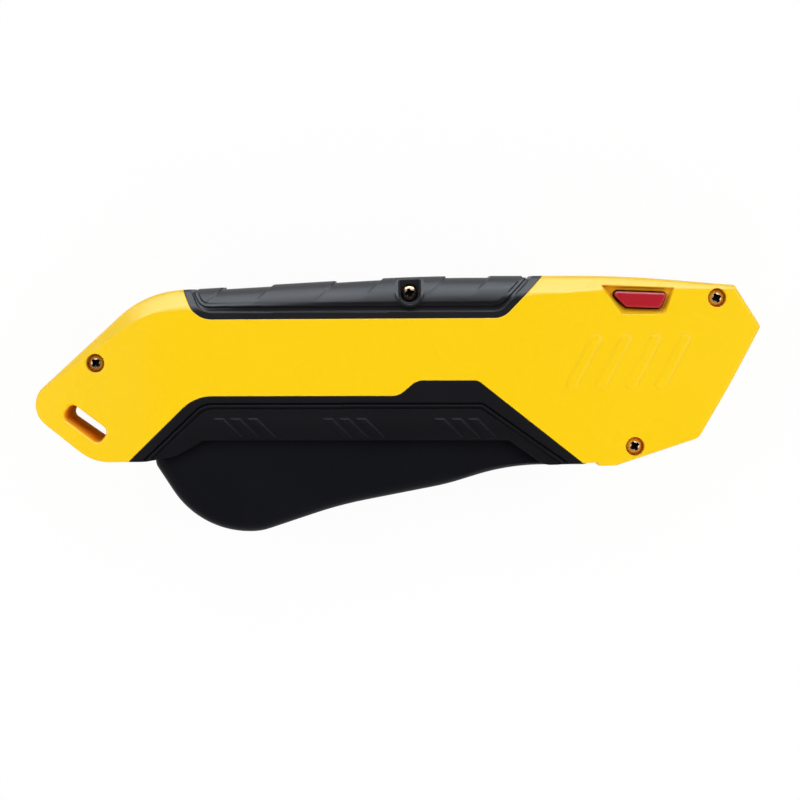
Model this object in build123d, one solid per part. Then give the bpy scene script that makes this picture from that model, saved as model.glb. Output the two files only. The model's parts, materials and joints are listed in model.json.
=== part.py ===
from build123d import *
import math
import os

# Squeeze-lever utility knife, millimetres. X runs to the nose, Y to the back of the handle and Z to
# the right side. Pieces are drawn about the mid-plane, then lifted so that the left side lies on Z = 0.

# Case
HALF_WIDTH = 12.0        # half the thickness in the middle of the handle
BACK = 30.6              # height of the back over the blade's line
WALL = 3.0
ROOT = 2.4               # depth at which bosses and ribs grow out of the wall
BEVEL = 4.5              # 45 degree bevel along the back
BEVEL_EDGE = 2.5         # rounding of the bevel's two edges
NOSE_EDGE = 1.0          # rounding of the side edges round the nose
NOSE_START = (53.5, 27.0)
REAR_EDGE = 0.6          # and under the rear end
REAR_START = (-56.0, -2.5)
REAR_TAPER_X = -56.0     # behind here the case gets thinner
FRONT_TAPER_X = 34.0     # and in front of here
REAR_END_HALF = 7.6
NOSE_END_HALF = 8.0
REAR_X = -87.5
NOSE_X = 87.5
REAR_PLAN_R = 80.0       # rounding where the tapers begin, seen from the back
FRONT_PLAN_R = 150.0
PLAN_SLACK = 0.05        # keeps the tapered ends' faces off the flat side's plane
REACH = 120.0            # larger than the object, for cutting blanks
BLANK_END = REACH - 5.0  # the blanks' own ends lie beyond this
GAP = 0.3                # free space between pieces that move past each other
CLOSE = 0.01             # edges nearer than this to a line count as lying on it
SEAM_DEPTH = 0.3         # fine groove where the two halves meet
SEAM_HALF = 0.15

# Grips
GRIP_DEPTH = 1.6
GRIP_FALL = 1.2          # how far the side grip falls away towards its lower edge
GRIP_ROLL = 5.0          # and over which width
RIM = 1.7
LEDGE_WIDTH = 0.9        # step between the top pad and its groove
LEDGE_DROP = 0.4
GROOVE_DEPTH = 0.8
LINE_WIDTH = 0.45        # the two fine grooves round the side grip's field
LINE_SPACING = 1.05
LINE_DEPTH = 0.6
FIELD_DROP = 0.3
WRAP = 1.2               # lower edge of the case wall that is rubber right through
PAD_EDGE = 7.0           # rounding of the top pad over the bevel
PAD_STEP = 0.45
STEP_FADE = 0.2          # makes the steps run out above the pad's foot
PAD_ZONES = [(-49.8, -38.2), (-24.1, -13.3), (1.4, 12.2)]   # low steps, at the pad's foot
HATCH_STARTS = [-43.8, -17.7, 9.1]
HATCH_COUNT = 3
HATCH_PITCH = 4.0
HATCH_WIDTH = 2.2
HATCH_TOP = -3.7
HATCH_BOTTOM = -8.3

# Nose ribs
RIB_COUNT = 4
RIB_PITCH = 7.2
RIB_WIDTH = 3.1
RIB_TOP = (46.6, 16.5)
RIB_BOTTOM = (39.7, 3.4)
RIB_PROUD = 0.35
RIB_CORNER = 1.1
RIB_FALL = (0.7, 0.3)    # sloping sides: across the rib's top, and down

# Case screws: place, and height of the head's top
SCREWS = [(-72.5, 9.6, 8.9), (76.9, 25.3, 8.0), (57.3, -10.4, 9.4), (3.0, 26.4, 8.6)]
NOTCH_SCREW = SCREWS[3]
SCREW_HEAD_R = 2.0
SCREW_HEAD_H = 1.4
SCREW_SHANK_R = 1.25
SCREW_RECESS_R = 2.25
SCREW_DOME = 0.7
SCREW_TURN = 30.0
SCREW_FREE = 0.1         # radial room where a screw passes through the right half
BACK_NOTCH_R = 2.6       # inside the rubber round the screw in the back
NOTCH_LINING = 0.8
SCREW_BOSS_R = 3.4
SCREW_END = -5.5
CROSS_LENGTH = 2.85
CROSS_WIDTH = 0.7
CROSS_DEPTH = 1.0

# Lanyard slot
SLOT_CENTRE = (-75.2, -5.0)
SLOT_SIZE = (11.4, 4.3)
SLOT_CORNER = 1.7
SLOT_TILT = -36.0
SLOT_WALL = 2.2
SLOT_EDGE = 0.7

# Lever and its pivot
PIVOT = (43.0, -10.0)
PIVOT_R = 1.75
PIVOT_COVER = 0.8        # plastic between the pin's end and the grip
LEVER_ANGLE = 10.0
LEVER_HALF = 8.7
LEVER_NOSE_HALF = 6.8
LEVER_TAPER_X = 10.0
LEVER_PLAN_R = 40.0
LEVER_WALL = 2.4
LEVER_EDGE = 3.0
LEVER_TOP = -5.0
EAR_FOOT = -9.0
LEVER_LOW = -31.5
LEVER_REAR = -58.6
LEVER_FRONT = 47.6
LEVER_MOUTH = -10.0      # above here the channel is open at the front
BLADE_WAY = -9.5         # and above here its front wall lets the carrier past
LEVER_ROOM = 0.5         # between the lever and the walls of its bay
BAY_TOP = 2.0
RUNNING = 0.06           # radial play of pins in their holes

# Blade carriage
TRAVEL = 15.0
DRIVE_PIN = (-17.0, 7.0)
DRIVE_PIN_R = 1.5
DRIVE_PIN_HALF = 8.4
CARRIER_HALF = 4.2
TONGUE_HALF = 5.9
TONGUE_Y = (6.5, 8.5)
TONGUE_X = (10.0, 44.0)
GUIDE_X = (8.0, 60.0)
GUIDE_Y = (2.5, 12.5)
GUIDE_INNER = 4.5
BLADE_LENGTH = 61.0
BLADE_BACK = 33.0
BLADE_HEIGHT = 18.7
BLADE_THICK = 0.65
BLADE_BEVEL = 2.0
EDGE_HALF = 0.02
BLADE_PLAY = 0.15        # round the blade in its carrier
BLADE_SIDE_PLAY = 0.01
BLADE_SLOT_START = 60.0  # slot in the nose, with play above and below the blade
BLADE_SLOT_PLAY = 0.6
BLADE_SLOT_HALF = 0.8
BLADE_CENTRE_X = 40.5
BLADE_EDGE_Y = -6.0
NOTCH_SPACING = 12.7
NOTCH_WIDTH = 3.0
NOTCH_DEPTH = 2.2
ROD_Y = 10.0
ROD_R = 1.5
ROD_END = -62.5
CLIP_X = (-61.5, -60.3)
CLIP_R = 3.4
CLIP_GROOVE_R = 1.1
STOP_X = (-28.0, -25.0)
STOP_FOOT = 4.0
STOP_SHOULDER = 13.0
CARRIER_TAIL = -24.3
TAIL_END = 4.0           # the carrier's two halves meet in front of this
CARRIER_SCREWS = [(14.0, 14.4), (36.0, 14.8)]
CARRIER_SCREW_R = 0.9
CARRIER_SCREW_HEAD_R = 1.6
CARRIER_SCREW_END = -3.2
SNUG = 0.02              # room left around pressed and screwed pieces
ROD_GRIP = 6.0
RETRACT_COIL_R = 2.8
RETRACT_WIRE_R = 0.4
RETRACT_TURNS = 9

# Blade release
BUTTON_TRAVEL = 1.5
BUTTON_TOP = 10.3
BUTTON_EDGE = 0.7
RECESS_FLOOR = 8.4
RECESS_TOP = 10.6
RECESS_SKIN = 1.2
BUTTON_LIP = 0.9
BUTTON_FLANGE = (6.0, 6.9)
PLUNGER = (55.5, 20.6)
PLUNGER_R = 1.3
PLUNGER_END = 2.5
SHELF = (2.6, 3.4)       # in the case, for the button's spring to stand on
SHELF_HALF = 4.0
SHELF_FRONT = 3.0
OVERLAP = 0.1            # of cuts that meet
BUTTON_COIL_R = 2.0
BUTTON_WIRE_R = 0.16
BUTTON_TURNS = 2.5
LATCH_Z = (0.6, 2.2)
LATCH_X = (45.6, 57.5)
LATCH_Y = (13.2, 16.2)
LATCH_TAB_X = 53.5
LATCH_TAB_TOP = 22.2
LATCH_SPRING = (50.6, 14.6)
LATCH_COIL_R = 1.1
LATCH_WIRE_R = 0.18
LATCH_TURNS = 5
LATCH_ROOM = 3.0         # in front of the latch
TOOTH_REACH = -0.5
TOOTH_PLAY = 0.2
TOOTH_ROOT = 1.0
LATCH_SPRING_ROOM = 1.6  # left for the pressed spring
LATCH_POCKET = TOOTH_REACH - BUTTON_TRAVEL - LATCH_SPRING_ROOM

# Outlines in side view: corner x, corner y, corner radius
FINGER_LINE = [(35.6, -14.9, 4.0), (26.8, -8.9, 6.0), (-46.5, -9.0, 9.0), (-53.0, -12.7, 6.0)]
CASE_OUTLINE = [
    (-90.75, -1.0, 6.0),
    (-60.6, 26.7, 24.0),
    (6.0, BACK, 500.0),
    (54.0, BACK, 250.0),
    (81.2, 28.4, 0.0),
    (87.74, 18.4, 1.5),
    (80.5, 4.6, 150.0),
    (72.9, -8.5, 2.5),
    (53.0, -15.0, 0.0),
    (48.4, -15.0, 0.0),
    (48.4, -14.3, 0.0),
    (45.2, -14.4, 0.0),
    *FINGER_LINE,
    (-60.5, -14.1, 6.0),
    (-73.3, -14.4, 12.0),
]
BACK_LINE = [
    (-REACH, -27.8, 0.0),
    CASE_OUTLINE[1],
    CASE_OUTLINE[2],
    CASE_OUTLINE[3],
    (REACH, 25.4, 0.0),
    (REACH, -REACH, 0.0),
    (-REACH, -REACH, 0.0),
]
SIDE_GRIP = [
    (-70.6, -20.0, 0.0),
    (-48.35, 1.8, 10.0),
    (0.4, 1.9, 4.0),
    (4.8, 5.6, 4.0),
    (19.4, 5.6, 2.5),
    (51.9, -20.0, 0.0),
]
SIDE_FIELD = [
    (-67.6, -20.0, 0.0),
    (-46.6, 0.1, 6.0),
    (20.6, 0.2, 2.0),
    (49.4, -20.0, 0.0),
]
TOP_GRIP = [(-54.4, 33.0, 0.0), (-48.0, 20.1, 6.0), (25.4, 20.5, 5.0), (37.3, 33.0, 0.0)]
TOP_PAD = [(-51.2, 33.0, 0.0), (-46.4, 24.0, 2.5), (24.2, 24.3, 3.0), (32.6, 33.0, 0.0)]
BUTTON = [(50.8, 27.0, 0.8), (64.9, 26.5, 0.8), (63.2, 22.8, 0.9), (54.9, 23.1, 0.9)]
SCOOP_FLOOR = [(49.8, 27.9, 0.0), (65.9, 27.4, 0.0), (63.7, 22.5, 0.6), (54.4, 22.8, 0.6)]
SCOOP_RIM = [(48.4, 28.6, 0.0), (67.1, 28.0, 0.0), (64.8, 20.9, 1.6), (54.0, 21.2, 1.6)]
LEVER_OUTLINE = [
    (LEVER_REAR, LEVER_TOP, 2.0),
    (LEVER_REAR, -15.0, 3.0),
    (-47.9, LEVER_LOW, 22.0),
    (-33.1, LEVER_LOW, 14.0),
    (-13.8, -25.0, 100.0),
    (12.1, -19.9, 60.0),
    (27.2, -15.2, 55.0),
    (LEVER_FRONT, -15.1, 2.5),
    (LEVER_FRONT, LEVER_TOP, 2.0),
]
EAR_OUTLINE = [
    (-24.0, EAR_FOOT, 0.0),
    (-22.0, 10.5, 3.0),
    (-12.0, 10.5, 5.0),
    (1.5, 1.5, 4.0),
    (4.0, EAR_FOOT, 0.0),
]
CARRIER_OUTLINE = [
    (CARRIER_TAIL, 14.5, 2.0),
    (CARRIER_TAIL, 3.0, 2.0),
    (2.0, 3.0, 3.0),
    (10.0, -3.0, 3.0),
    (52.0, -3.0, 3.0),
    (57.0, 8.0, 3.0),
    (57.0, 12.9, 1.0),
    (44.5, 12.9, 0.0),
    (44.5, 16.5, 2.0),
    (0.0, 16.5, 3.0),
    (-6.0, 14.5, 3.0),
]

ON_BASE = (Align.CENTER, Align.CENTER, Align.MIN)


def face_of(corners):
    """Closed face through corners given as x, y and corner radius."""
    points = [(x, y) for x, y, _ in corners]
    radii = [radius for _, _, radius in corners]
    return make_face(FilletPolyline(*points, radius=radii, close=True))


def prism(face, low, high):
    """Straight block over a side-view face, from one height to another."""
    return extrude(Plane.XY.offset(low) * face, high - low, dir=(0, 0, 1))


def block(x, y, z):
    """Box from three (low, high) pairs."""
    size = [high - low for low, high in (x, y, z)]
    return Pos(x[0], y[0], z[0]) * Box(*size, align=Align.MIN)


def post(centre, radius, low, high):
    """Cylinder along Z."""
    return Pos(*centre, low) * Cylinder(radius, high - low, align=ON_BASE)


def bar(centre_y, radius, low, high):
    """Cylinder along X in the mid-plane."""
    return Pos(low, centre_y, 0) * Rot(0, 90, 0) * Cylinder(radius, high - low, align=ON_BASE)


def coil(radius, wire, turns, length):
    """Compression spring along +Z from the origin, whose wire stays between its two ends."""
    rise = length - 2 * wire
    path = Helix(rise / turns, rise, radius)
    section = Plane(origin=path @ 0, z_dir=path % 0) * Circle(wire)
    return Pos(0, 0, wire) * sweep(section, path=path)


def plan_face(corners):
    """Face in the plane seen from the handle's back, mirrored about the mid-plane."""
    other_side = [(x, -z, radius) for x, z, radius in reversed(corners)]
    return Plane.XZ * face_of(corners + other_side)


def taper_half(x):
    """Half thickness of the case at a place along its length."""
    rear_slope = (HALF_WIDTH - REAR_END_HALF) / (REAR_TAPER_X - REAR_X)
    front_slope = (HALF_WIDTH - NOSE_END_HALF) / (NOSE_X - FRONT_TAPER_X)
    return HALF_WIDTH - max(0.0, rear_slope * (REAR_TAPER_X - x), front_slope * (x - FRONT_TAPER_X))


def envelope(inset, bevel_edge=BEVEL_EDGE):
    """The case's outer form without its side outline, moved inwards by an inset all over."""
    half = HALF_WIDTH - inset
    bevel = BEVEL - inset * (2 - math.sqrt(2))
    rounding = bevel_edge - inset
    blank = extrude(offset(face_of(BACK_LINE), -inset, kind=Kind.INTERSECTION), half, both=True)

    def along_back(edge, level):
        middle = edge.center()
        on_line = abs(middle.X) < BLANK_END and middle.Y > -REACH / 2
        return on_line and abs(abs(middle.Z) - level) < CLOSE

    blank = chamfer(blank.edges().filter_by(lambda edge: along_back(edge, half)), bevel)
    if rounding > 0:
        levels = (half, half - bevel)
        soft = blank.edges().filter_by(lambda edge: any(along_back(edge, level) for level in levels))
        blank = fillet(soft, rounding)
    plan = plan_face([
        (-REACH, taper_half(-REACH) + PLAN_SLACK, 0.0),
        (REAR_TAPER_X, HALF_WIDTH + PLAN_SLACK, REAR_PLAN_R),
        (FRONT_TAPER_X, HALF_WIDTH + PLAN_SLACK, FRONT_PLAN_R),
        (REACH, taper_half(REACH) + PLAN_SLACK, 0.0),
    ])
    return blank & extrude(offset(plan, -inset, kind=Kind.INTERSECTION), REACH, both=True)


OUTER = envelope(0)
SEAT = envelope(GRIP_DEPTH)
INNER = envelope(WALL)
CASE_FACE = face_of(CASE_OUTLINE)
SLOT_FACE = Pos(*SLOT_CENTRE) * Rot(0, 0, SLOT_TILT) * RectangleRounded(*SLOT_SIZE, SLOT_CORNER)


def lever_plan(extra):
    """Lever's width seen from above, with extra room all round."""
    slope = (LEVER_HALF - LEVER_NOSE_HALF) / (LEVER_FRONT - LEVER_TAPER_X)
    front = LEVER_FRONT + extra
    return plan_face([
        (LEVER_REAR - extra, LEVER_HALF + extra, 0.0),
        (LEVER_TAPER_X, LEVER_HALF + extra, LEVER_PLAN_R),
        (front, LEVER_HALF + extra - slope * (front - LEVER_TAPER_X), 0.0),
    ])


def half_case():
    """Right half of the case's outer form, with the side edges softened round its nose and under its rear."""
    case = prism(CASE_FACE, 0, REACH) & OUTER

    def above_seam(edge):
        return edge.bounding_box().min.Z > REAR_END_HALF / 2

    def round_nose(edge):
        middle = edge.center()
        return above_seam(edge) and middle.X > NOSE_START[0] and middle.Y < NOSE_START[1]

    def under_rear(edge):
        middle = edge.center()
        return above_seam(edge) and middle.X < REAR_START[0] and middle.Y < REAR_START[1]

    case = fillet(case.edges().filter_by(round_nose), NOSE_EDGE)
    return fillet(case.edges().filter_by(under_rear), REAR_EDGE)


HALF_CASE = half_case()


def grip_layer(area):
    """Right half of a rubber grip: a layer of the case's outside over a side-view area."""
    return (prism(area, 0, REACH) & HALF_CASE) - SEAT


def sunk(grip, area, floor):
    """Grip with an area lowered to the top of a floor."""
    return grip - (prism(area, 0, REACH) - floor)


def rolled_side(inset):
    """The case's form, moved inwards by an inset, whose side falls away in a curve to the finger line."""
    top = HALF_WIDTH - inset
    fall_arc = TangentArc((GRIP_ROLL, top), (0, top - GRIP_FALL), tangent=(-1, 0))
    walls = Polyline((0, top - GRIP_FALL), (0, 0), (REACH, 0), (REACH, top), (GRIP_ROLL, top))
    profile = make_face(Curve() + [fall_arc, walls])
    above = Part()
    for start, end in zip(FINGER_LINE[1:], FINGER_LINE):
        run, rise = end[0] - start[0], end[1] - start[1]
        across = Plane(origin=(start[0], start[1], 0), x_dir=(-rise, run, 0), z_dir=(run, rise, 0))
        above += extrude(across * profile, REACH, both=True)
    return above & envelope(inset)


def slanted(start, width, foot, head, lean):
    """Parallelogram between two heights whose upper end leans along X."""
    points = [(start, foot), (start + width, foot), (start + width + lean, head), (start + lean, head)]
    return make_face(Polyline(*points, close=True))


def grip_wrap():
    """Lower edge of the case wall beside the lever, which the side grip takes the place of."""
    edge = prism(CASE_FACE - offset(CASE_FACE, -WRAP), 0, REACH) & prism(face_of(SIDE_GRIP), 0, REACH)
    beside_lever = block((LEVER_REAR, LEVER_FRONT), (-REACH, REACH), (0, REACH)) - lever_bay()
    return edge & beside_lever & HALF_CASE


def side_grip():
    grip = (grip_layer(face_of(SIDE_GRIP)) + grip_wrap()) & rolled_side(0)
    field = face_of(SIDE_FIELD)
    middle_field = offset(field, -LINE_SPACING)
    line_floor = rolled_side(LINE_DEPTH)
    for outline in (field, middle_field):
        grip = sunk(grip, outline - offset(outline, -LINE_WIDTH), line_floor)
    rise = HATCH_TOP - HATCH_BOTTOM
    middle_field = offset(middle_field, -LINE_WIDTH)
    for start in HATCH_STARTS:
        for n in range(HATCH_COUNT):
            foot = start + n * HATCH_PITCH + rise
            middle_field -= slanted(foot, HATCH_WIDTH, HATCH_BOTTOM, HATCH_TOP, -rise)
    return sunk(grip, middle_field, rolled_side(FIELD_DROP))


def top_grip():
    area, pad = face_of(TOP_GRIP), face_of(TOP_PAD)
    inside_rim = offset(area, -RIM)
    grip = sunk(grip_layer(area), inside_rim - pad, envelope(LEDGE_DROP))
    grip = sunk(grip, inside_rim - offset(pad, LEDGE_WIDTH), envelope(GROOVE_DEPTH))
    grip = sunk(grip, pad, envelope(0, PAD_EDGE))
    foot, head = TOP_GRIP[1][1], TOP_GRIP[0][1]
    step_floor = Pos(0, -PAD_STEP, STEP_FADE) * envelope(0, PAD_EDGE)
    for start, end in PAD_ZONES:
        grip = sunk(grip, slanted(start, end - start, foot, head, head - foot) & pad, step_floor)
    return grip - seam()


def screw_notch(lining):
    """U-shaped notch in the back that bares one case screw, smaller by its lining."""
    x, y, head_top = NOTCH_SCREW
    floor = head_top - SCREW_HEAD_H + lining
    radius = BACK_NOTCH_R + NOTCH_LINING - lining
    return post((x, y), radius, floor, REACH) + block((x - radius, x + radius), (y, REACH), (floor, REACH))


def notched_top_grip():
    """Top grip of the right side, whose rubber lines the notch down to the screw's seat."""
    x, y, _ = NOTCH_SCREW
    lining = screw_notch(0) & HALF_CASE
    grip = top_grip() - screw_notch(0) + lining
    return grip - screw_notch(NOTCH_LINING) - post((x, y), SCREW_HEAD_R + SCREW_FREE, 0, REACH)


def lever_bay():
    """Room in the case for the lever, open at the bottom."""
    bay = extrude(lever_plan(LEVER_ROOM), REACH, both=True)
    return bay & block((-REACH, REACH), (-REACH, BAY_TOP), (-REACH, REACH))


def cavity():
    """Hollow inside the case."""
    hollow = INNER & prism(offset(CASE_FACE, -WALL), -REACH, REACH)
    hollow -= prism(offset(SLOT_FACE, SLOT_WALL), -REACH, REACH)
    blade_top = BLADE_EDGE_Y + BLADE_HEIGHT
    blade_slot = block(
        (BLADE_SLOT_START, REACH),
        (BLADE_EDGE_Y - BLADE_SLOT_PLAY, blade_top + BLADE_SLOT_PLAY),
        (-BLADE_SLOT_HALF, BLADE_SLOT_HALF),
    )
    return hollow + lever_bay() + blade_slot


HOLLOW = cavity()


def seam():
    """Fine groove round the outline, where the two halves of the case meet."""
    return prism(CASE_FACE - offset(CASE_FACE, -SEAM_DEPTH), 0, SEAM_HALF)


def half_shell():
    """Right half of the case with what both halves have inside, before its screws and button."""
    shell = HALF_CASE
    raised = envelope(-RIB_PROUD)
    for n in range(RIB_COUNT):
        foot = RIB_BOTTOM[0] + n * RIB_PITCH
        shape = slanted(foot, RIB_WIDTH, RIB_BOTTOM[1], RIB_TOP[1], RIB_TOP[0] - RIB_BOTTOM[0])
        shape = fillet(shape.vertices(), RIB_CORNER)
        rib = prism(shape, taper_half(foot) - WALL, REACH) & raised
        top = rib.faces().sort_by(Axis.Z)[-1]
        shell += chamfer(top.edges(), *RIB_FALL, reference=top)
    for area in (SIDE_GRIP, TOP_GRIP):
        shell -= prism(face_of(area), 0, REACH) - SEAT
    shell -= HOLLOW + grip_wrap()
    inside = prism(offset(CASE_FACE, -ROOT), 0, REACH) & envelope(ROOT)
    bosses = [post((x, y), SCREW_BOSS_R, 0, REACH) for x, y, _ in SCREWS]
    for piece in bosses + [spring_stop()]:
        shell += piece & inside
    shell -= post(PIVOT, PIVOT_R, 0, pivot_end())
    shell -= prism(SLOT_FACE, 0, REACH) + seam()

    def slot_rim(edge):
        middle = edge.center()
        from_slot = SLOT_FACE.wire().distance_to(Vertex(middle.X, middle.Y, 0))
        return from_slot < CLOSE and edge.bounding_box().min.Z > REAR_END_HALF / 2

    return fillet(shell.edges().filter_by(slot_rim), SLOT_EDGE)


def spring_stop():
    """Rib that the retract spring pushes against: narrow where the lever's walls swing past it."""
    narrow = block(STOP_X, (STOP_FOOT, REACH), (0, LEVER_HALF - LEVER_WALL - GAP))
    wide = block(STOP_X, (STOP_SHOULDER, REACH), (0, REACH))
    return narrow + wide - bar(ROD_Y, ROD_R + GAP, *STOP_X)


def pivot_end():
    """How far the lever's pin reaches into each half of the case."""
    return taper_half(PIVOT[0]) - GRIP_DEPTH - PIVOT_COVER


def right_shell():
    shell = half_shell()
    x, y = PLUNGER
    shelf = block((x - SHELF_HALF, x + SHELF_HALF), (y - SHELF_FRONT, BACK), SHELF)
    shell += shelf & prism(CASE_FACE, 0, REACH) & envelope(ROOT)
    for x, y, head_top in SCREWS:
        shell -= post((x, y), SCREW_RECESS_R, head_top - SCREW_HEAD_H, REACH)
        shell -= post((x, y), SCREW_SHANK_R + SCREW_FREE, 0, REACH)
    shell -= screw_notch(0)
    return shell - button_room()


def button_room():
    """Scooped recess around the button, the hole for its head and the space for its lip and plunger."""
    floor = Plane.XY.offset(RECESS_FLOOR) * face_of(SCOOP_FLOOR)
    rim = Plane.XY.offset(RECESS_TOP) * face_of(SCOOP_RIM)
    room = loft([floor, rim], ruled=True) + prism(face_of(SCOOP_RIM), RECESS_TOP, REACH)
    room += prism(offset(face_of(BUTTON), GAP), SHELF[1], RECESS_FLOOR + OVERLAP)
    room += prism(offset(face_of(BUTTON), BUTTON_LIP + GAP), SHELF[1], RECESS_FLOOR - RECESS_SKIN)
    return room + post(PLUNGER, PLUNGER_R + GAP, 0, RECESS_FLOOR - RECESS_SKIN)


def left_shell():
    shell = mirror(half_shell(), about=Plane.XY)
    for x, y, _ in SCREWS:
        shell -= post((x, y), SCREW_SHANK_R, SCREW_END, 0)
    return shell


def case_screw(x, y, head_top):
    head = post((x, y), SCREW_HEAD_R, head_top - SCREW_HEAD_H, head_top)
    head = fillet(head.edges().group_by(Axis.Z)[-1], SCREW_DOME)
    for size in [(CROSS_LENGTH, CROSS_WIDTH), (CROSS_WIDTH, CROSS_LENGTH)]:
        head -= Pos(x, y, head_top) * Rot(0, 0, SCREW_TURN) * Box(*size, 2 * CROSS_DEPTH)
    return head + post((x, y), SCREW_SHANK_R, SCREW_END, head_top - SCREW_HEAD_H)


def cam_slot():
    """Slot in the lever's ears that turns its swing into an even forward travel of the drive pin."""

    def pin_seen_from_lever(share):
        angle = math.radians(LEVER_ANGLE * share)
        along = DRIVE_PIN[0] - PIVOT[0] + TRAVEL * share
        up = DRIVE_PIN[1] - PIVOT[1]
        x = along * math.cos(angle) - up * math.sin(angle)
        y = along * math.sin(angle) + up * math.cos(angle)
        return (PIVOT[0] + x, PIVOT[1] + y)

    path = ThreePointArc(pin_seen_from_lever(0), pin_seen_from_lever(0.5), pin_seen_from_lever(1))
    return prism(SlotArc(path, 2 * (DRIVE_PIN_R + RUNNING)), -REACH, REACH)


def squeeze_lever():
    width = extrude(lever_plan(0), REACH, both=True)
    blank = extrude(face_of(LEVER_OUTLINE), LEVER_HALF, both=True)
    bottom = blank.edges().filter_by(
        lambda edge: abs(abs(edge.center().Z) - LEVER_HALF) < CLOSE and edge.center().Y < LEVER_TOP - CLOSE
    )
    blank = fillet(bottom, LEVER_EDGE) & width
    lever = blank + (extrude(face_of(EAR_OUTLINE), LEVER_HALF, both=True) & width)
    inside = extrude(lever_plan(-LEVER_WALL), REACH, both=True)
    floor = offset(face_of(LEVER_OUTLINE), -LEVER_WALL)
    room = prism(floor, -REACH, REACH)
    room += block((LEVER_REAR + LEVER_WALL, LEVER_FRONT), (LEVER_MOUTH, REACH), (-REACH, REACH))
    lever -= inside & room
    lever -= block((PIVOT[0], REACH), (BLADE_WAY, REACH), (-CARRIER_HALF - GAP, CARRIER_HALF + GAP))
    lever -= post(PIVOT, PIVOT_R + RUNNING, -REACH, REACH)
    return lever - cam_slot()


def blade():
    half, back, top = BLADE_LENGTH / 2, BLADE_BACK / 2, BLADE_HEIGHT
    plate = make_face(Polyline((-half, 0), (half, 0), (back, top), (-back, top), close=True))
    for side in (-1, 1):
        notch_x = side * NOTCH_SPACING / 2
        plate -= Pos(notch_x, top) * Rectangle(NOTCH_WIDTH, 2 * NOTCH_DEPTH)
    body = extrude(plate, BLADE_THICK / 2, both=True)
    for side in (-1, 1):
        edge, clear, face = side * EDGE_HALF, side * BLADE_THICK, side * BLADE_THICK / 2
        ground = [(0, edge), (0, clear), (BLADE_BEVEL, clear), (BLADE_BEVEL, face)]
        body -= extrude(Plane.YZ * make_face(Polyline(*ground, close=True)), BLADE_LENGTH, both=True)
    return Pos(BLADE_CENTRE_X, BLADE_EDGE_Y, 0) * body


def carrier_half(low, high):
    return prism(face_of(CARRIER_OUTLINE), low, high)


def latch_room():
    """Pocket of the blade latch and its spring, open at the carrier's top."""
    along = (LATCH_X[0] - GAP, LATCH_X[1] + LATCH_ROOM)
    return block(along, (LATCH_Y[0] - GAP - NOTCH_DEPTH, REACH), (LATCH_POCKET, LATCH_Z[1] + GAP))


def tail_space():
    """Right half of the carrier's tail, which belongs to its left half."""
    return block((CARRIER_TAIL, TAIL_END), (-REACH, REACH), (0, CARRIER_HALF))


def blade_carrier():
    """Left half of the sledge that holds the blade, with its tail and rod hole."""
    body = carrier_half(-CARRIER_HALF, 0)
    body += tail_space() & carrier_half(0, CARRIER_HALF)
    body += block(TONGUE_X, TONGUE_Y, (-TONGUE_HALF, -CARRIER_HALF))
    body -= blade_block()
    body -= latch_room()
    body -= post(DRIVE_PIN, DRIVE_PIN_R + SNUG, -REACH, REACH)
    body -= carrier_screws(SNUG)
    return body - bar(ROD_Y, ROD_R + SNUG, ROD_END, CARRIER_TAIL + ROD_GRIP)


def blade_block():
    """Space of the blade and its play in the carrier."""
    half, back = BLADE_LENGTH / 2 + BLADE_PLAY, BLADE_BACK / 2 + BLADE_PLAY
    top = BLADE_HEIGHT + BLADE_PLAY
    face = make_face(Polyline((-half, 0), (half, 0), (back, top), (-back, top), close=True))
    thick = BLADE_THICK / 2 + BLADE_SIDE_PLAY
    return Pos(BLADE_CENTRE_X, BLADE_EDGE_Y, 0) * prism(face, -thick, thick)


def carrier_cover():
    body = carrier_half(0, CARRIER_HALF) - tail_space()
    body += block(TONGUE_X, TONGUE_Y, (CARRIER_HALF, TONGUE_HALF))
    return body - blade_block() - latch_room() - carrier_screws(SNUG)


def carrier_screws(extra):
    """Two countersunk screws that clamp the carrier's halves, or their holes with extra room."""
    low, high = CARRIER_SCREW_END, CARRIER_HALF
    head_low = high - CARRIER_SCREW_HEAD_R + CARRIER_SCREW_R
    screws = []
    for x, y in CARRIER_SCREWS:
        shank = post((x, y), CARRIER_SCREW_R + extra, low, high)
        flat = Plane.XY.offset(head_low) * Pos(x, y) * Circle(CARRIER_SCREW_R + extra)
        rim = Plane.XY.offset(high) * Pos(x, y) * Circle(CARRIER_SCREW_HEAD_R + extra)
        screws.append(shank + loft([flat, rim]))
    return Part() + screws


def blade_guide():
    """Right strip of the track that the carrier's tongue runs in."""
    strip = block(GUIDE_X, GUIDE_Y, (GUIDE_INNER, HALF_WIDTH)) & INNER
    track = block((0, REACH), (TONGUE_Y[0] - GAP, TONGUE_Y[1] + GAP), (0, TONGUE_HALF + GAP))
    return strip - track


def pull_rod():
    rod = bar(ROD_Y, ROD_R, ROD_END, CARRIER_TAIL + ROD_GRIP)
    return rod - rod_clip()


def rod_clip():
    return bar(ROD_Y, CLIP_R, *CLIP_X) - bar(ROD_Y, CLIP_GROOVE_R, *CLIP_X)


def retract_spring():
    length = STOP_X[0] - CLIP_X[1]
    spring = Rot(0, 90, 0) * coil(RETRACT_COIL_R, RETRACT_WIRE_R, RETRACT_TURNS, length)
    return Pos(CLIP_X[1], ROD_Y, 0) * spring


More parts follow.
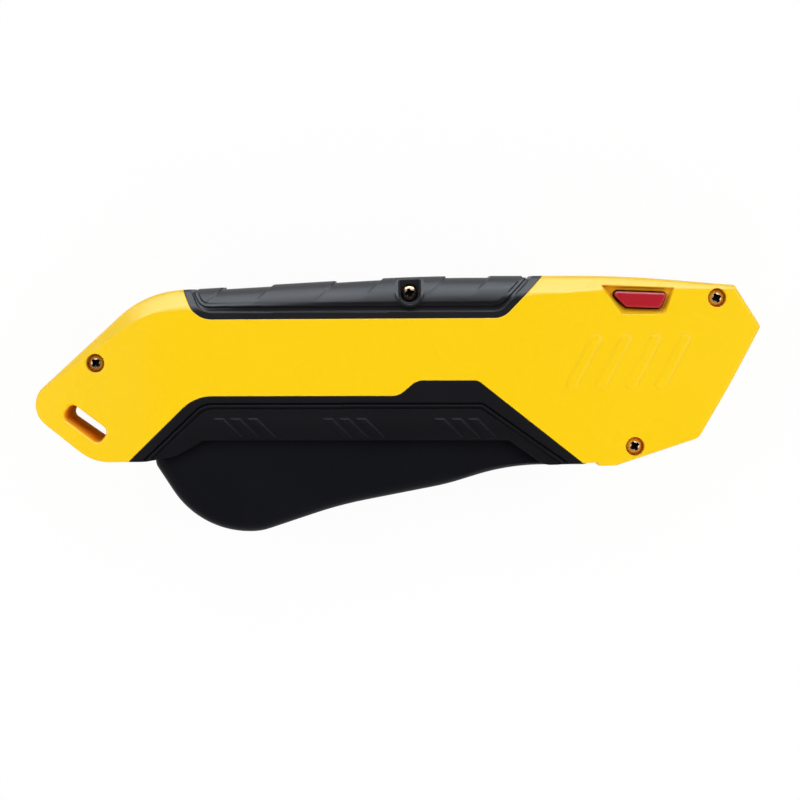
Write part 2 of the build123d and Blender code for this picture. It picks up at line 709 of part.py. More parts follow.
def release_button():
    face = face_of(BUTTON)
    head = prism(face, BUTTON_FLANGE[0], BUTTON_TOP)
    head = fillet(head.edges().group_by(Axis.Z)[-1], BUTTON_EDGE)
    flange = prism(offset(face, BUTTON_LIP), *BUTTON_FLANGE)
    x, y = PLUNGER
    arm = block((x - PLUNGER_R, x + PLUNGER_R), (y, BUTTON[3][1]), BUTTON_FLANGE)
    return head + flange + arm + post(PLUNGER, PLUNGER_R, PLUNGER_END, BUTTON_FLANGE[1])


def button_spring():
    spring = coil(BUTTON_COIL_R, BUTTON_WIRE_R, BUTTON_TURNS, BUTTON_FLANGE[0] - SHELF[1])
    return Pos(*PLUNGER, SHELF[1]) * spring


def blade_latch():
    bar_plate = block(LATCH_X, LATCH_Y, LATCH_Z)
    tab = block((LATCH_TAB_X, LATCH_X[1]), (LATCH_Y[0], LATCH_TAB_TOP), LATCH_Z)
    notch_x = BLADE_CENTRE_X + NOTCH_SPACING / 2
    half = NOTCH_WIDTH / 2 - TOOTH_PLAY
    tooth_low = BLADE_EDGE_Y + BLADE_HEIGHT - NOTCH_DEPTH + TOOTH_PLAY
    tooth_y = (tooth_low, LATCH_Y[0] + TOOTH_ROOT)
    tooth = block((notch_x - half, notch_x + half), tooth_y, (TOOTH_REACH, LATCH_Z[1]))
    return bar_plate + tab + tooth


def latch_spring():
    spring = coil(LATCH_COIL_R, LATCH_WIRE_R, LATCH_TURNS, LATCH_Z[0] - LATCH_POCKET)
    return Pos(*LATCH_SPRING, LATCH_POCKET) * spring


def mirrored(piece):
    return mirror(piece, about=Plane.XY)


SIDE_GRIP_RIGHT = side_grip()
GUIDE_RIGHT = blade_guide()

PIECES = {
    "right_shell": right_shell(),
    "left_shell": left_shell(),
    "right_side_grip": SIDE_GRIP_RIGHT,
    "left_side_grip": mirrored(SIDE_GRIP_RIGHT),
    "right_top_grip": notched_top_grip(),
    "left_top_grip": mirrored(top_grip()),
    "case_screws": Part() + [case_screw(*place) for place in SCREWS],
    "lever_pivot_pin": post(PIVOT, PIVOT_R, -pivot_end(), pivot_end()),
    "right_blade_guide": GUIDE_RIGHT,
    "left_blade_guide": mirrored(GUIDE_RIGHT),
    "squeeze_lever": squeeze_lever(),
    "blade_carrier": blade_carrier(),
    "carrier_cover": carrier_cover(),
    "carrier_screws": carrier_screws(0),
    "blade": blade(),
    "drive_pin": post(DRIVE_PIN, DRIVE_PIN_R, -DRIVE_PIN_HALF, DRIVE_PIN_HALF),
    "pull_rod": pull_rod(),
    "rod_clip": rod_clip(),
    "retract_spring": retract_spring(),
    "release_button": release_button(),
    "button_spring": button_spring(),
    "blade_latch": blade_latch(),
    "latch_spring": latch_spring(),
}

middle_y = (BACK + LEVER_LOW) / 2
os.makedirs("parts", exist_ok=True)
for name, piece in PIECES.items():
    export_step(Pos(0, -middle_y, HALF_WIDTH) * piece, f"parts/{name}.step")
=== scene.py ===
import json
import math

import bmesh
import bpy
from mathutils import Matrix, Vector

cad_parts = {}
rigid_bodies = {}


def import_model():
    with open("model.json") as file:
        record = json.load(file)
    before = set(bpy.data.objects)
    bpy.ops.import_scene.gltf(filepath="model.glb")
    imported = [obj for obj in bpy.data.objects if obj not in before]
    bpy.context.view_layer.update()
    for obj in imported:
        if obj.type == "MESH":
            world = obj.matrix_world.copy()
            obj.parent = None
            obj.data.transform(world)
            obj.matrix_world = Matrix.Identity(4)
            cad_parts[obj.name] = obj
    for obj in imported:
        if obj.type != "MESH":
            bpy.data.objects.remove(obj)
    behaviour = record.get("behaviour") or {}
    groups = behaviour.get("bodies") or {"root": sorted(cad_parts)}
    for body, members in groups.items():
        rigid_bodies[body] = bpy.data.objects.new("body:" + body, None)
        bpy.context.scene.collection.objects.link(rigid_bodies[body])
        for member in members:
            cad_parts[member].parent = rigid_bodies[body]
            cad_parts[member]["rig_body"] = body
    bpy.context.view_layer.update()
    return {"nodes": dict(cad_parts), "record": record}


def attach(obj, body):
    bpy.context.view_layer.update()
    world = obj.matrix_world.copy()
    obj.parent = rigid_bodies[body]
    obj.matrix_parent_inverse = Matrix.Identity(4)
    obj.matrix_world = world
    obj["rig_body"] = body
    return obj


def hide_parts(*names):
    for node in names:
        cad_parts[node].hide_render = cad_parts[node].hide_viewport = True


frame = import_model()

MM = 0.001

# Camera: the place at the picture's middle, and the lens that looks down on the knife
AIM = Vector((0.72, 1.11, 20.0)) * MM
CAMERA_DISTANCE = 430 * MM
CAMERA_TILT = math.radians(3.5)
LENS_MM = 80.15
SENSOR_MM = 36.0
CLIP_START = 10 * MM

# Studio: the panels' tint, the table, and how bright the room is from the horizon to overhead
COOL_WHITE = (0.82, 0.91, 1.0)
TABLE_HALF = 12.0
TABLE_LEVEL = -0.1 * MM
TABLE_PAINT = (0.9, 0.9, 0.9, 1)
TABLE_WHITE = (1, 1, 1, 1)
TABLE_WHITE_SHARE = 0.95
ROOM_STEPS = [(0.0, 0.6), (0.45, 0.3), (0.75, 0.04), (1.0, 0.02)]

# Meshes made from the CAD solids
MERGE_DISTANCE = 0.001 * MM
FLAT_ANGLE = math.radians(0.2)
SHARP_ANGLE = math.radians(32)
SLOT_REACH = 6.5 * MM
SLOT_WALL_LEAN = 0.5     # largest upright share of a slot wall's normal
GRIP_VOXEL = 0.15 * MM
GRIP_SMOOTHING = 4
GRIP_SMOOTHING_FACTOR = 0.5
GRIP_KEPT_SHARE = 0.36

# Surfaces
# Reach of the painted shade that darkens crevices and recesses
CREVICE_SHADE_REACH = 3.0 * MM
GRAIN_DEPTH = 0.05 * MM
LAY_DEPTH = 0.01 * MM
PLASTIC_GLOSS_SPREAD = 0.06
METAL_GLOSS_SPREAD = 0.08
METAL_DULLNESS = 0.8
METAL_MARKS = 0.12
METAL_EDGE = 0.1 * MM

# Case screws, from the rear: their sizes, the painted reflection that sets how bright each one looks, and
# how its cross is turned
SCREW_SIZES = {
    "Head radius": 2.0 * MM,
    "Head height": 1.4 * MM,
    "Cross length": 3.0 * MM,
    "Cross width": 1.05 * MM,
    "Cross depth": 1.0 * MM,
    "Shank radius": 1.25 * MM,
    "Shank length": 12.0 * MM,
    "Thread pitch": 0.8 * MM,
    "Thread depth": 0.25 * MM,
}
DOME_DETAIL = {"Segments": 64, "Rings": 32}
SHANK_DETAIL = {"Vertices": 32, "Side Segments": 60}
# A wedge is about a unit square at its top; the bore's radii are in cross lengths
CROSS_WEDGE = {"Vertices": 4, "Radius Top": 0.7071, "Radius Bottom": 0.36, "Depth": 1.0}
CROSS_BORE = {"Vertices": 24, "Radius Top": 0.34, "Radius Bottom": 0.2, "Depth": 1.0}
CUTTER_OVERRUN = 1.5
TURN = "turn"
RECESS = "recess"
PAINTED_REFLECTION = "painted_reflection"
# Painted reflection: brightness of each screw from the rear, for what its head reflects where it sits
SCREW_PAINTED_REFLECTION = [0.5, 0.1, 1.0, 0.85]
SCREW_TURNS = [math.radians(angle) for angle in (45, 14, 32, 24)]


def add_node(tree, kind, links=None, **settings):
    """Node with its settings; links maps an input to a value or to the socket that feeds it."""
    made = tree.nodes.new(kind)
    for name, value in settings.items():
        setattr(made, name, value)
    for name, value in (links or {}).items():
        feed(tree, made.inputs[name], value)
    return made


def feed(tree, socket, value):
    if isinstance(value, bpy.types.NodeSocket):
        tree.links.new(value, socket)
    else:
        socket.default_value = value


def math_node(tree, operation, *values):
    links = dict(enumerate(values))
    return add_node(tree, "ShaderNodeMath", links, operation=operation).outputs[0]


def map_range(tree, value, low, high, from_min=0.0, from_max=1.0):
    links = {"Value": value, "From Min": from_min, "From Max": from_max, "To Min": low, "To Max": high}
    return add_node(tree, "ShaderNodeMapRange", links).outputs["Result"]


def mix_colour(tree, share, first, second):
    """Colour between two, each a triple or a socket."""
    made = add_node(tree, "ShaderNodeMix", {0: share}, data_type="RGBA")
    for socket, colour in zip((made.inputs[6], made.inputs[7]), (first, second)):
        feed(tree, socket, (*colour, 1.0) if isinstance(colour, tuple) else colour)
    return made.outputs[2]


def noise(tree, place, scale, detail, roughness=0.5):
    links = {"Vector": place, "Scale": scale, "Detail": detail, "Roughness": roughness}
    return add_node(tree, "ShaderNodeTexNoise", links).outputs["Fac"]


def stretched_place(tree, turn, scale):
    """Object coordinates turned about Z and stretched, for marks that run one way."""
    place = add_node(tree, "ShaderNodeTexCoord").outputs["Object"]
    links = {"Vector": place, "Rotation": (0.0, 0.0, turn), "Scale": scale}
    return add_node(tree, "ShaderNodeMapping", links).outputs["Vector"]


def new_group(name, inputs, outputs):
    """Empty shader group with named number inputs and typed outputs."""
    tree = bpy.data.node_groups.new(name, "ShaderNodeTree")
    for label, value in inputs.items():
        socket = tree.interface.new_socket(label, in_out="INPUT", socket_type="NodeSocketFloat")
        socket.default_value = value
    for label, kind in outputs.items():
        tree.interface.new_socket(label, in_out="OUTPUT", socket_type=kind)
    return tree, tree.nodes.new("NodeGroupInput").outputs, tree.nodes.new("NodeGroupOutput").inputs


def mould_grain_group():
    """Spark-eroded mould grain: its height, and the slow mottling of a moulded surface."""
    tree, given, result = new_group(
        "mould grain",
        {"Grain per metre": 3000.0, "Mottle per metre": 60.0},
        {"Height": "NodeSocketFloat", "Mottle": "NodeSocketFloat"},
    )
    place = add_node(tree, "ShaderNodeTexCoord").outputs["Object"]
    tree.links.new(noise(tree, place, given["Grain per metre"], 3.0, 0.6), result["Height"])
    tree.links.new(noise(tree, place, given["Mottle per metre"], 4.0), result["Mottle"])
    return tree


def soft_edge_group():
    """Rounding of edges that are sharp in the mesh, and a mask of where they are."""
    tree, given, result = new_group(
        "soft edge", {"Radius": 0.2 * MM}, {"Normal": "NodeSocketVector", "Edge": "NodeSocketFloat"}
    )
    rounded = add_node(tree, "ShaderNodeBevel", {"Radius": given["Radius"]}, samples=6).outputs["Normal"]
    true_normal = add_node(tree, "ShaderNodeNewGeometry").outputs["Normal"]
    links = {0: rounded, 1: true_normal}
    same = add_node(tree, "ShaderNodeVectorMath", links, operation="DOT_PRODUCT").outputs["Value"]
    tree.links.new(rounded, result["Normal"])
    tree.links.new(map_range(tree, same, 0.0, 1.0, 0.99, 0.8), result["Edge"])
    return tree


def rub_marks_group():
    """Faint hairlines in two directions that come and go over the surface."""
    tree, given, result = new_group(
        "rub marks", {"Amount": 0.5, "Patches per metre": 45.0}, {"Marks": "NodeSocketFloat"}
    )
    lines = []
    for turn, scale in ((0.35, (40.0, 2600.0, 900.0)), (-0.6, (2200.0, 55.0, 900.0))):
        streaks = noise(tree, stretched_place(tree, turn, scale), 1.0, 1.0)
        lines.append(map_range(tree, streaks, 0.0, 1.0, 0.66, 0.74))
    place = add_node(tree, "ShaderNodeTexCoord").outputs["Object"]
    patches = map_range(tree, noise(tree, place, given["Patches per metre"], 2.0), 0.0, 1.0, 0.48, 0.66)
    marks = math_node(tree, "MULTIPLY", math_node(tree, "MAXIMUM", *lines), patches)
    tree.links.new(math_node(tree, "MULTIPLY", marks, given["Amount"]), result["Marks"])
    return tree


def crevice_shade_group():
    """How far a place is sunk between its neighbours, by ambient occlusion, as the amount of painted shade:
    one in grooves, nothing on open faces.
    """
    tree, given, result = new_group("crevice", {"Reach": 1.0 * MM}, {"Depth": "NodeSocketFloat"})
    links = {"Distance": given["Reach"]}
    open_share = add_node(tree, "ShaderNodeAmbientOcclusion", links, samples=8).outputs["AO"]
    tree.links.new(map_range(tree, open_share, 1.0, 0.0, 0.2, 0.75), result["Depth"])
    return tree


def lay_lines_group():
    """Fine parallel lines that a grinding wheel or a drawing die leaves on metal."""
    tree, given, result = new_group(
        "lay lines",
        {"Lines per metre": 4000.0, "Turn": 0.0},
        {"Height": "NodeSocketFloat", "Tone": "NodeSocketFloat"},
    )
    place = add_node(tree, "ShaderNodeTexCoord").outputs["Object"]
    links = {"Vector": place, "Angle": given["Turn"]}
    turned = add_node(tree, "ShaderNodeVectorRotate", links, rotation_type="Z_AXIS").outputs["Vector"]
    links = {0: turned, 1: (1.0, 0.02, 0.02)}
    thin = add_node(tree, "ShaderNodeVectorMath", links, operation="MULTIPLY").outputs["Vector"]
    tree.links.new(noise(tree, thin, given["Lines per metre"], 2.0), result["Height"])
    tree.links.new(noise(tree, place, 90.0, 3.0), result["Tone"])
    return tree


MOULD_GRAIN = mould_grain_group()
SOFT_EDGE = soft_edge_group()
RUB_MARKS = rub_marks_group()
CREVICE_SHADE = crevice_shade_group()
LAY_LINES = lay_lines_group()


def new_material(name, **sockets):
    """Principled material whose constant sockets are set on the shader itself."""
    material = bpy.data.materials.new(name)
    material.use_nodes = True
    shader = material.node_tree.nodes["Principled BSDF"]
    for label, value in sockets.items():
        shader.inputs[label.replace("_", " ")].default_value = value
    return material, material.node_tree, shader.inputs


def place_group(tree, group, **values):
    made = add_node(tree, "ShaderNodeGroup", node_tree=group)
    for label, value in values.items():
        made.inputs[label.replace("_", " ")].default_value = value
    return made.outputs


def moulded(name, colour, painted_shade_colour, roughness, grain, relief, variation, edge, marks, specular):
    """Moulded plastic or rubber with grain, soft edges, rub marks, slow changes of colour and gloss, and a
    darker painted shade in its crevices and recesses.
    """
    material, tree, shader = new_material(name, Specular_IOR_Level=specular)
    painted_shade_mask = place_group(tree, CREVICE_SHADE, Reach=CREVICE_SHADE_REACH)
    surface = place_group(tree, MOULD_GRAIN, Grain_per_metre=grain)
    corner = place_group(tree, SOFT_EDGE, Radius=edge)
    rubbed = place_group(tree, RUB_MARKS, Amount=marks)
    dark = tuple(channel * (1 - variation) for channel in colour)
    pale = tuple(min(1.0, channel * (1 + variation) + 0.004 * variation) for channel in colour)
    body = mix_colour(tree, surface["Mottle"], dark, colour)
    body = mix_colour(tree, corner["Edge"], body, pale)
    # Painted shade: crevices and recesses turn towards the darker shade colour by ambient occlusion
    tree.links.new(mix_colour(tree, painted_shade_mask["Depth"], body, painted_shade_colour), shader["Base Color"])
    gloss = map_range(
        tree, surface["Mottle"], roughness - PLASTIC_GLOSS_SPREAD, roughness + PLASTIC_GLOSS_SPREAD
    )
    gloss = math_node(tree, "MAXIMUM", gloss, painted_shade_mask["Depth"])
    tree.links.new(math_node(tree, "ADD", gloss, rubbed["Marks"]), shader["Roughness"])
    links = {
        "Height": surface["Height"], "Normal": corner["Normal"], "Strength": relief, "Distance": GRAIN_DEPTH,
    }
    tree.links.new(add_node(tree, "ShaderNodeBump", links).outputs["Normal"], shader["Normal"])
    return material


def metal(name, colour, roughness, lines, turn, relief):
    """Bare metal with its lay lines, faint rub marks and soft edges."""
    material, tree, shader = new_material(name, Metallic=1.0)
    lay = place_group(tree, LAY_LINES, Lines_per_metre=lines, Turn=turn)
    corner = place_group(tree, SOFT_EDGE, Radius=METAL_EDGE)
    rubbed = place_group(tree, RUB_MARKS, Amount=METAL_MARKS)
    dull = tuple(METAL_DULLNESS * channel for channel in colour)
    tree.links.new(mix_colour(tree, lay["Tone"], dull, colour), shader["Base Color"])
    gloss = map_range(tree, lay["Height"], roughness - METAL_GLOSS_SPREAD, roughness + METAL_GLOSS_SPREAD)
    tree.links.new(math_node(tree, "ADD", gloss, rubbed["Marks"]), shader["Roughness"])
    links = {"Height": lay["Height"], "Normal": corner["Normal"], "Strength": relief, "Distance": LAY_DEPTH}
    tree.links.new(add_node(tree, "ShaderNodeBump", links).outputs["Normal"], shader["Normal"])
    return material


def plated(name, bright, painted_reflection_dark, painted_recess_shade, **values):
    """Metal that runs from a dark colour to bright by each piece's own painted reflection share, with
    painted shade in its recess.
    """
    material = metal(name, bright, **values)
    tree = material.node_tree
    tone = add_node(tree, "ShaderNodeAttribute", attribute_name=PAINTED_REFLECTION).outputs["Fac"]
    recess = add_node(tree, "ShaderNodeAttribute", attribute_name=RECESS).outputs["Fac"]
    base = tree.nodes["Principled BSDF"].inputs["Base Color"]
    # Painted reflection from each piece's share, then painted shade in the cross recess
    painted_reflection_colour = mix_colour(tree, tone, painted_reflection_dark, base.links[0].from_socket)
    tree.links.new(mix_colour(tree, recess, painted_reflection_colour, painted_recess_shade), base)
    return material


BLACK = (0.0055, 0.0053, 0.0072)
# Painted shade colour for the crevices of the black rubber
PAINTED_SHADE_BLACK = (0.002, 0.002, 0.0026)
YELLOW = (0.93, 0.60, 0.006)
# Painted shade colour for the crevices and recesses of the yellow case
PAINTED_SHADE_ORANGE = (0.80, 0.30, 0.008)
# Each moulded finish: its colour, then the darker colour painted into its crevices as shade
MATERIALS = {
    "yellow_plastic": moulded(
        "yellow case plastic", YELLOW, PAINTED_SHADE_ORANGE,
        roughness=0.28, grain=2600.0, relief=0.10, variation=0.02, edge=0.5 * MM, marks=0.006, specular=0.26,
    ),
    "black_rubber": moulded(
        "black grip rubber", BLACK, PAINTED_SHADE_BLACK,
        roughness=0.46, grain=1900.0, relief=0.30, variation=0.25, edge=0.15 * MM, marks=0.06, specular=0.26,
    ),
    "black_plastic": moulded(
        "black lever plastic", (0.0058, 0.006, 0.0082), (0.002, 0.002, 0.003),
        roughness=0.42, grain=2600.0, relief=0.20, variation=0.2, edge=0.3 * MM, marks=0.08, specular=0.08,
    ),
    "red_plastic": moulded(
        "red button plastic", (0.42, 0.014, 0.024), (0.10, 0.002, 0.004),
        roughness=0.26, grain=3000.0, relief=0.06, variation=0.06, edge=0.25 * MM, marks=0.04, specular=0.35,
    ),
    "guide_plastic": moulded(
        "acetal guide plastic", (0.70, 0.70, 0.66), (0.35, 0.34, 0.30),
        roughness=0.45, grain=2600.0, relief=0.10, variation=0.05, edge=0.2 * MM, marks=0.1, specular=0.5,
    ),
    "carrier_plastic": moulded(
        "filled carrier nylon", (0.05, 0.05, 0.055), (0.02, 0.02, 0.022),
        roughness=0.5, grain=1500.0, relief=0.30, variation=0.2, edge=0.2 * MM, marks=0.08, specular=0.5,
    ),
    "screw_steel": plated(
        "plated screw steel", (0.95, 0.84, 0.68), (0.16, 0.11, 0.07), (0.03, 0.022, 0.015),
        roughness=0.28, lines=2500.0, turn=0.6, relief=0.1,
    ),
    "blade_steel": metal("ground blade steel", (0.56, 0.57, 0.58), 0.28, 5000.0, 0.0, 0.35),
    "spring_steel": metal("drawn spring steel", (0.45, 0.45, 0.46), 0.33, 4000.0, 1.2, 0.15),
}
# Slot walls: matte, and a more orange colour than the case's yellow, as painted shade inside the slot
SLOT_WALL_PAINTED_SHADE = moulded(
    "matte slot wall with painted shade", (1.0, 0.52, 0.02), (1.0, 0.46, 0.02),
    roughness=0.85, grain=2000.0, relief=0.2, variation=0.05, edge=0.2 * MM, marks=0.0, specular=0.05,
)
SIDE_RUBBER = moulded(
    "matte side rubber", BLACK, PAINTED_SHADE_BLACK,
    roughness=0.56, grain=1900.0, relief=0.30, variation=0.25, edge=0.15 * MM, marks=0.06, specular=0.10,
)
SLOTS = {part["node"]: part["material_slot"] for part in frame["record"]["subparts"]}


def dress_nodes():
    """Every carried-over node takes the material of its slot."""
    for node, slot in SLOTS.items():
        mesh = frame["nodes"][node].data
        mesh.materials.clear()
        mesh.materials.append(MATERIALS[slot])


def node_mesh(name):
    """Copy of a CAD node's mesh with its loose triangles joined."""
    mesh = frame["nodes"][name].data.copy()
    shape = bmesh.new()
    shape.from_mesh(mesh)
    bmesh.ops.remove_doubles(shape, verts=shape.verts, dist=MERGE_DISTANCE)
    shape.to_mesh(mesh)
    shape.free()
    return mesh


def link_piece(name, mesh):
    piece = bpy.data.objects.new(name, mesh)
    bpy.context.collection.objects.link(piece)
    return piece


def apply_modifiers(piece):
    """Turns what the modifiers make into the piece's own plain mesh."""
    evaluated = piece.evaluated_get(bpy.context.evaluated_depsgraph_get())
    mesh = bpy.data.meshes.new_from_object(evaluated)
    piece.modifiers.clear()
    piece.data = mesh


def add_modifier(piece, kind, **settings):
    modifier = piece.modifiers.new(kind.lower(), kind)
    for label, value in settings.items():
        setattr(modifier, label, value)
    return modifier


def stand_for(piece, node):
    """Gives a piece the body of the CAD node that it replaces, and hides the node."""
    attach(piece, frame["nodes"][node]["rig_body"])
    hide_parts(node)


def smooth_moulding(node):
    """Moulding as in the CAD, with its curved faces shaded smooth and its flat ones flat."""
    mesh = node_mesh(node)
    shape = bmesh.new()
    shape.from_mesh(mesh)
    bmesh.ops.dissolve_limit(shape, angle_limit=FLAT_ANGLE, verts=shape.verts, edges=shape.edges)
    for face in shape.faces:
        face.smooth = True
    for edge in shape.edges:
        edge.smooth = edge.calc_face_angle(0.0) < SHARP_ANGLE
    shape.to_mesh(mesh)
    shape.free()
    piece = link_piece(node + "_moulding", mesh)
    add_modifier(piece, "WEIGHTED_NORMAL", keep_sharp=True, weight=100)
    apply_modifiers(piece)
    stand_for(piece, node)
    return piece


def matte_slot_walls_with_painted_shade(shell):
    """Dulls the walls of the lanyard slot, which the mould's core leaves matte, and colours them orange as
    painted shade.
    """
    centre = next(mount["pos_m"] for mount in frame["record"]["mounts"] if mount["name"] == "lanyard_slot")
    shell.data.materials.append(SLOT_WALL_PAINTED_SHADE)
    for face in shell.data.polygons:
        across = (face.center - Vector(centre)).to_2d().length
        if across < SLOT_REACH and abs(face.normal.z) < SLOT_WALL_LEAN:
            face.material_index = 1


def soft_grip(node):
    """Rubber overmould whose steps and grooves have the soft edges of a rubber moulding."""
    piece = link_piece(node + "_rubber", node_mesh(node))
    add_modifier(piece, "REMESH", mode="VOXEL", voxel_size=GRIP_VOXEL)
    add_modifier(piece, "SMOOTH", factor=GRIP_SMOOTHING_FACTOR, iterations=GRIP_SMOOTHING)
    add_modifier(piece, "DECIMATE", ratio=GRIP_KEPT_SHARE)
    apply_modifiers(piece)
    piece.data.shade_smooth()
    stand_for(piece, node)
    return piece


def solid_boxes(node):
    """Lowest and highest corner of each separate solid in a CAD node, from the rear to the nose."""
    shape = bmesh.new()
    shape.from_mesh(node_mesh(node))
    waiting = set(shape.verts)
    boxes = []
    while waiting:
        front = [waiting.pop()]
        found = []
        while front:
            vert = front.pop()
            found.append(vert.co.copy())
            near = [edge.other_vert(vert) for edge in vert.link_edges]
            fresh = [other for other in near if other in waiting]
            waiting.difference_update(fresh)
            front += fresh
        low = Vector(min(place[axis] for place in found) for axis in range(3))
        high = Vector(max(place[axis] for place in found) for axis in range(3))
        boxes.append((low, high))
    shape.free()
    return sorted(boxes, key=lambda box: box[0].x)


def transform_geometry(tree, geometry, **links):
    inputs = {"Geometry": geometry, **links}
    return add_node(tree, "GeometryNodeTransform", inputs).outputs["Geometry"]


def combine(tree, x, y, z):
    return add_node(tree, "ShaderNodeCombineXYZ", {"X": x, "Y": y, "Z": z}).outputs["Vector"]


def point_place(tree):
    return add_node(tree, "GeometryNodeInputPosition").outputs[0]


def screw_head(tree, given):
    """Domed head with a flat seat at the origin and a tapered cross recess."""
    radius, height = given["Head radius"], given["Head height"]
    ball = add_node(tree, "GeometryNodeMeshUVSphere", {**DOME_DETAIL, "Radius": 1.0}).outputs["Mesh"]
    ball = transform_geometry(tree, ball, Scale=combine(tree, radius, radius, height))
    place = add_node(tree, "ShaderNodeSeparateXYZ", {0: point_place(tree)})
    above_seat = math_node(tree, "MAXIMUM", place.outputs["Z"], 0.0)
    seated = combine(tree, place.outputs["X"], place.outputs["Y"], above_seat)
    dome = add_node(tree, "GeometryNodeSetPosition", {"Geometry": ball, "Position": seated}).outputs[0]
    length, width, depth = given["Cross length"], given["Cross width"], given["Cross depth"]
    reach = math_node(tree, "MULTIPLY", depth, CUTTER_OVERRUN)
    floor = combine(tree, 0.0, 0.0, math_node(tree, "SUBTRACT", height, depth))
    wedge = add_node(tree, "GeometryNodeMeshCone", CROSS_WEDGE).outputs["Mesh"]
    wedge = transform_geometry(tree, wedge, Rotation=(0.0, 0.0, math.pi / 4))
    cutters = []
    for size in (combine(tree, length, width, reach), combine(tree, width, length, reach)):
        cutters.append(transform_geometry(tree, wedge, Scale=size, Translation=floor))
    bore = add_node(tree, "GeometryNodeMeshCone", CROSS_BORE).outputs["Mesh"]
    bore_size = combine(tree, length, length, reach)
    cutters.append(transform_geometry(tree, bore, Scale=bore_size, Translation=floor))
    cut = add_node(tree, "GeometryNodeMeshBoolean", {"Mesh 1": dome}, operation="DIFFERENCE", solver="EXACT")
    for cutter in cutters:
        links = {"Geometry": cutter, "Name": RECESS, "Value": 1.0}
        marked = add_node(tree, "GeometryNodeStoreNamedAttribute", links, data_type="FLOAT", domain="FACE")
        tree.links.new(marked.outputs["Geometry"], cut.inputs["Mesh 2"])
    return cut.outputs["Mesh"]


def screw_shank(tree, given):
    """Shank that hangs below the head, with thread ridges."""
    length, pitch = given["Shank length"], given["Thread pitch"]
    sizes = {**SHANK_DETAIL, "Radius": given["Shank radius"], "Depth": length}
    rod = add_node(tree, "GeometryNodeMeshCylinder", sizes).outputs["Mesh"]
    place = add_node(tree, "ShaderNodeSeparateXYZ", {0: point_place(tree)})
    ridge = math_node(tree, "PINGPONG", place.outputs["Z"], math_node(tree, "DIVIDE", pitch, 2.0))
    ridge = math_node(tree, "DIVIDE", ridge, math_node(tree, "DIVIDE", pitch, 2.0))
    cut = math_node(tree, "DIVIDE", given["Thread depth"], given["Shank radius"])
    width = math_node(tree, "SUBTRACT", 1.0, math_node(tree, "MULTIPLY", ridge, cut))
    x = math_node(tree, "MULTIPLY", place.outputs["X"], width)
    y = math_node(tree, "MULTIPLY", place.outputs["Y"], width)
    threaded = combine(tree, x, y, place.outputs["Z"])
    rod = add_node(tree, "GeometryNodeSetPosition", {"Geometry": rod, "Position": threaded}).outputs[0]
    hanging = combine(tree, 0.0, 0.0, math_node(tree, "MULTIPLY", length, -0.5))
    return transform_geometry(tree, rod, Translation=hanging)


def screw_tree():
    """Puts a cross-recessed screw on each point, turned by the point's own angle."""
    tree = bpy.data.node_groups.new("case screws", "GeometryNodeTree")
    tree.interface.new_socket("Places", in_out="INPUT", socket_type="NodeSocketGeometry")
    for label in SCREW_SIZES:
        tree.interface.new_socket(label, in_out="INPUT", socket_type="NodeSocketFloat")
    tree.interface.new_socket("Screws", in_out="OUTPUT", socket_type="NodeSocketGeometry")
    given = tree.nodes.new("NodeGroupInput").outputs
    screw = add_node(tree, "GeometryNodeJoinGeometry")
    for piece in (screw_head(tree, given), screw_shank(tree, given)):
        tree.links.new(piece, screw.inputs[0])
    turn = add_node(tree, "GeometryNodeInputNamedAttribute", {"Name": TURN}, data_type="FLOAT")
    turned = combine(tree, 0.0, 0.0, turn.outputs["Attribute"])
    links = {"Points": given["Places"], "Instance": screw.outputs[0], "Rotation": turned}
    placed = add_node(tree, "GeometryNodeInstanceOnPoints", links).outputs["Instances"]
    real = add_node(tree, "GeometryNodeRealizeInstances", {"Geometry": placed}).outputs["Geometry"]
    links = {"Geometry": real, "Material": MATERIALS["screw_steel"]}
    finished = add_node(tree, "GeometryNodeSetMaterial", links).outputs["Geometry"]
    tree.links.new(finished, tree.nodes.new("NodeGroupOutput").inputs["Screws"])
    return tree


def case_screws():
    """The four screws that hold the case together, where the CAD has them."""
    mesh = bpy.data.meshes.new("screw places")
    seats = []
    for low, high in solid_boxes("case_screws"):
        middle = (low + high) / 2
        seats.append((middle.x, middle.y, high.z - SCREW_SIZES["Head height"]))
    mesh.from_pydata(seats, [], [])
    for label, values in ((TURN, SCREW_TURNS), (PAINTED_REFLECTION, SCREW_PAINTED_REFLECTION)):
        mesh.attributes.new(label, "FLOAT", "POINT").data.foreach_set("value", values)
    piece = link_piece("cross_screws", mesh)
    tree = screw_tree()
    modifier = add_modifier(piece, "NODES", node_group=tree)
    for item in tree.interface.items_tree:
        if item.name in SCREW_SIZES:
            modifier[item.identifier] = SCREW_SIZES[item.name]
    apply_modifiers(piece)
    piece.data.shade_smooth()
    piece.data.set_sharp_from_angle(angle=SHARP_ANGLE)
    stand_for(piece, "case_screws")


def add_camera():
    data = bpy.data.cameras.new("photo camera")
    data.lens = LENS_MM
    data.sensor_width = SENSOR_MM
    data.clip_start = CLIP_START
    camera = bpy.data.objects.new("photo camera", data)
    camera.location = AIM + CAMERA_DISTANCE * Vector((0, math.sin(CAMERA_TILT), math.cos(CAMERA_TILT)))
    camera.rotation_euler = (-CAMERA_TILT, 0, 0)
    bpy.context.collection.objects.link(camera)
    bpy.context.scene.camera = camera


def add_softbox(name, place, size, power, colour=(1.0, 1.0, 1.0), lights=True, shines=True):
    """Rectangular lamp that faces the knife and lights it, shows in its gloss, or both."""
    data = bpy.data.lights.new(name, "AREA")
    data.shape = "RECTANGLE"
    data.size, data.size_y = size
    data.energy = power
    data.color = colour
    lamp = bpy.data.objects.new(name, data)
    lamp.location = place
    lamp.rotation_euler = (AIM - Vector(place)).to_track_quat("-Z", "Y").to_euler()
    lamp.visible_camera = False
    lamp.visible_diffuse = lights
    lamp.visible_glossy = shines
    bpy.context.collection.objects.link(lamp)


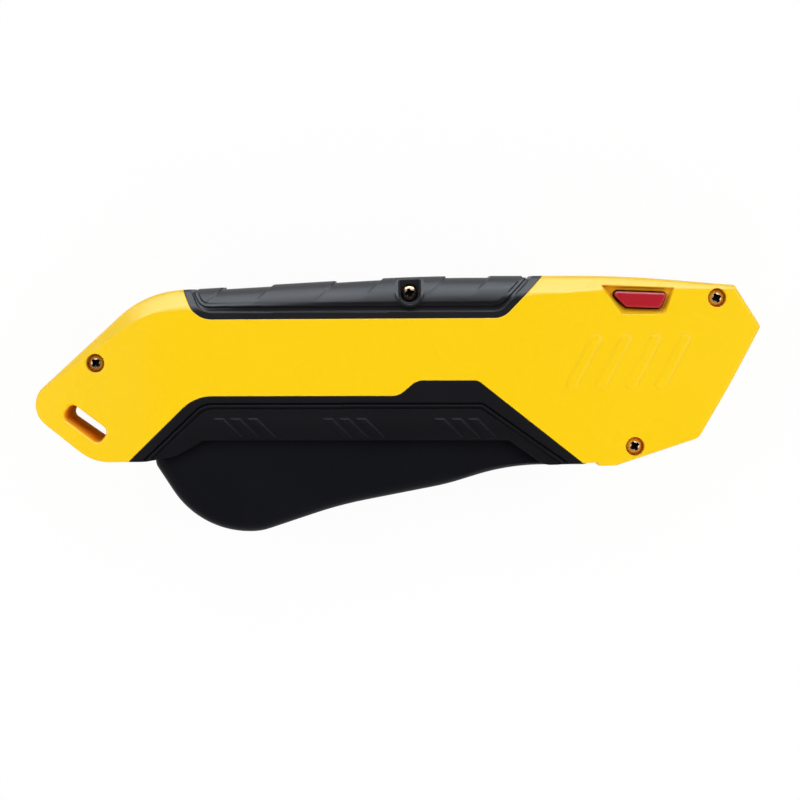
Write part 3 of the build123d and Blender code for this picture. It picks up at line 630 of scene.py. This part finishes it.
def add_floor():
    """White table that the camera and reflections see as white, with the knife's faint shadow."""
    mesh = bpy.data.meshes.new("table")
    half, level = TABLE_HALF, TABLE_LEVEL
    corners = [(-half, -half, level), (half, -half, level), (half, half, level), (-half, half, level)]
    mesh.from_pydata(corners, [], [(0, 1, 2, 3)])
    floor = link_piece("table", mesh)
    material = bpy.data.materials.new("white table")
    material.use_nodes = True
    tree = material.node_tree
    tree.nodes.clear()
    rays = add_node(tree, "ShaderNodeLightPath").outputs
    seen = math_node(tree, "MAXIMUM", rays["Is Camera Ray"], rays["Is Glossy Ray"])
    seen = math_node(tree, "MAXIMUM", seen, rays["Is Transmission Ray"])
    share = math_node(tree, "MULTIPLY", seen, TABLE_WHITE_SHARE)
    paint = add_node(tree, "ShaderNodeBsdfDiffuse", {"Color": TABLE_PAINT}).outputs[0]
    white = add_node(tree, "ShaderNodeEmission", {"Color": TABLE_WHITE, "Strength": 1.0}).outputs[0]
    mixed = add_node(tree, "ShaderNodeMixShader", {0: share, 1: paint, 2: white}).outputs[0]
    add_node(tree, "ShaderNodeOutputMaterial", {"Surface": mixed})
    mesh.materials.append(material)


def add_world():
    """Studio that is pale round the horizon and dark overhead, so that flat tops stay free of glare."""
    world = bpy.data.worlds.new("studio")
    world.use_nodes = True
    tree = world.node_tree
    direction = add_node(tree, "ShaderNodeTexCoord").outputs["Generated"]
    height = add_node(tree, "ShaderNodeSeparateXYZ", {0: direction}).outputs["Z"]
    ramp = add_node(tree, "ShaderNodeValToRGB", {"Fac": height})
    for place, _ in ROOM_STEPS[1:-1]:
        ramp.color_ramp.elements.new(place)
    for element, (place, level) in zip(ramp.color_ramp.elements, ROOM_STEPS):
        element.position = place
        element.color = (level, level, level, 1.0)
    tree.links.new(ramp.outputs["Color"], tree.nodes["Background"].inputs["Color"])
    bpy.context.scene.world = world


dress_nodes()
for shell in ("right_shell", "left_shell"):
    matte_slot_walls_with_painted_shade(smooth_moulding(shell))
for moulding in ("squeeze_lever", "release_button"):
    smooth_moulding(moulding)
for grip in ("right_top_grip", "left_top_grip"):
    soft_grip(grip)
for grip in ("right_side_grip", "left_side_grip"):
    soft_grip(grip).data.materials[0] = SIDE_RUBBER
case_screws()

add_camera()
add_world()
add_floor()
add_softbox("left softbox", (-0.58, 0.08, 0.44), (0.5, 0.5), 2.15)
add_softbox("right softbox", (0.58, 0.08, 0.44), (0.5, 0.5), 2.25)
add_softbox("front softbox", (0.0, -0.58, 0.50), (0.7, 0.4), 3.2, shines=False)
add_softbox("top softbox", (0.0, 0.56, 0.52), (0.7, 0.4), 2.0)
add_softbox("back strip", (0.0, 0.80, 0.12), (1.6, 0.26), 17.5, COOL_WHITE, lights=False)
add_softbox("back panel", (0.0, 0.66, 0.44), (1.4, 0.40), 6.6, COOL_WHITE, lights=False)
bpy.context.scene.view_settings.view_transform = "Standard"
